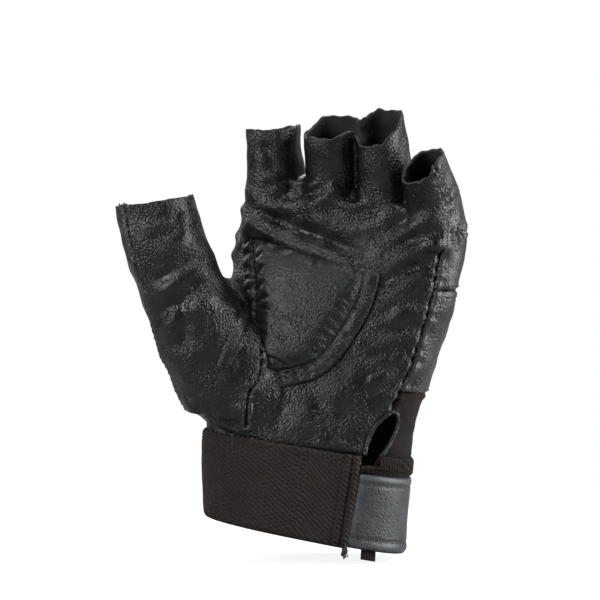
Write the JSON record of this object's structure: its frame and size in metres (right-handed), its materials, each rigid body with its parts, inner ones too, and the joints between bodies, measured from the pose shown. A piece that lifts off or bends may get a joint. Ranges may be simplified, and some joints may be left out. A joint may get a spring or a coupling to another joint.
{
  "type": "fingerless leather glove",
  "caption": "Fingerless leather glove for a left hand: padded palm, elastic cuff, wrist strap, shaped as worn with the fingers half closed.",
  "frame": {"origin": "middle of the wrist opening", "axes": "+Z along the hand from the wrist to the fingers, -Y the way the palm faces, -X the thumb side"},
  "size_m": [0.1422, 0.0659, 0.1836],
  "materials": {
    "palm_leather": "soft black goat-grain leather, pebbled, low sheen",
    "back_leather": "thin charcoal split leather, finely crinkled, low sheen",
    "strap_leather": "smooth charcoal leather, folded and stitched edges, satin",
    "elastic_knit": "brown-black elastic webbing with a herringbone rib",
    "back_fabric": "brown-black fine stretch weave, matt",
    "wadding": "grey foam-backed wadding",
    "tape": "black nylon hook-and-loop tape",
    "label": "black woven ribbon, blank"
  },
  "bodies": {
    "palm": {"palm_leather": "palm_leather", "palm_patch": "palm_leather", "palm_pad": "wadding", "back_leather": "back_leather", "knuckle_panel": "back_leather", "back_fabric": "back_fabric", "back_hem": "elastic_knit", "vent_binding": "palm_leather", "cuff_band": "elastic_knit", "loop_pad": "tape", "seam_tail": "elastic_knit", "thenar_front": "palm_leather", "thenar_back": "palm_leather"},
    "fingers": {"index_front": "palm_leather", "index_back": "back_leather", "fourchette_index_middle": "palm_leather", "middle_front": "palm_leather", "middle_back": "back_leather", "fourchette_middle_ring": "palm_leather", "ring_front": "palm_leather", "ring_back": "back_leather", "fourchette_ring_little": "palm_leather", "little_front": "palm_leather", "little_back": "back_leather"},
    "thumb": {"thumb_front": "palm_leather", "thumb_back": "palm_leather"},
    "strap": {"strap_leather": "strap_leather", "hook_pad": "tape", "strap_label": "label"}
  },
  "joints": [
    {"name": "knuckle_flex", "type": "hinge", "parent": "palm", "child": "fingers", "pos_m": [0.0212, 0.0026, 0.123], "axis": [0.9237, -0.3732, -0.0872], "range_deg": [-25, 35]},
    {"name": "thumb_flex", "type": "hinge", "parent": "palm", "child": "thumb", "pos_m": [-0.0455, -0.0082, 0.089], "axis": [0.1732, 0.9824, 0.0698], "range_deg": [-12, 16]},
    {"name": "strap_open", "type": "hinge", "parent": "palm", "child": "strap", "pos_m": [0.0215, -0.0262, 0.01], "axis": [-0.173, 0.0151, -0.9848], "range_deg": [0, 110]}
  ]
}
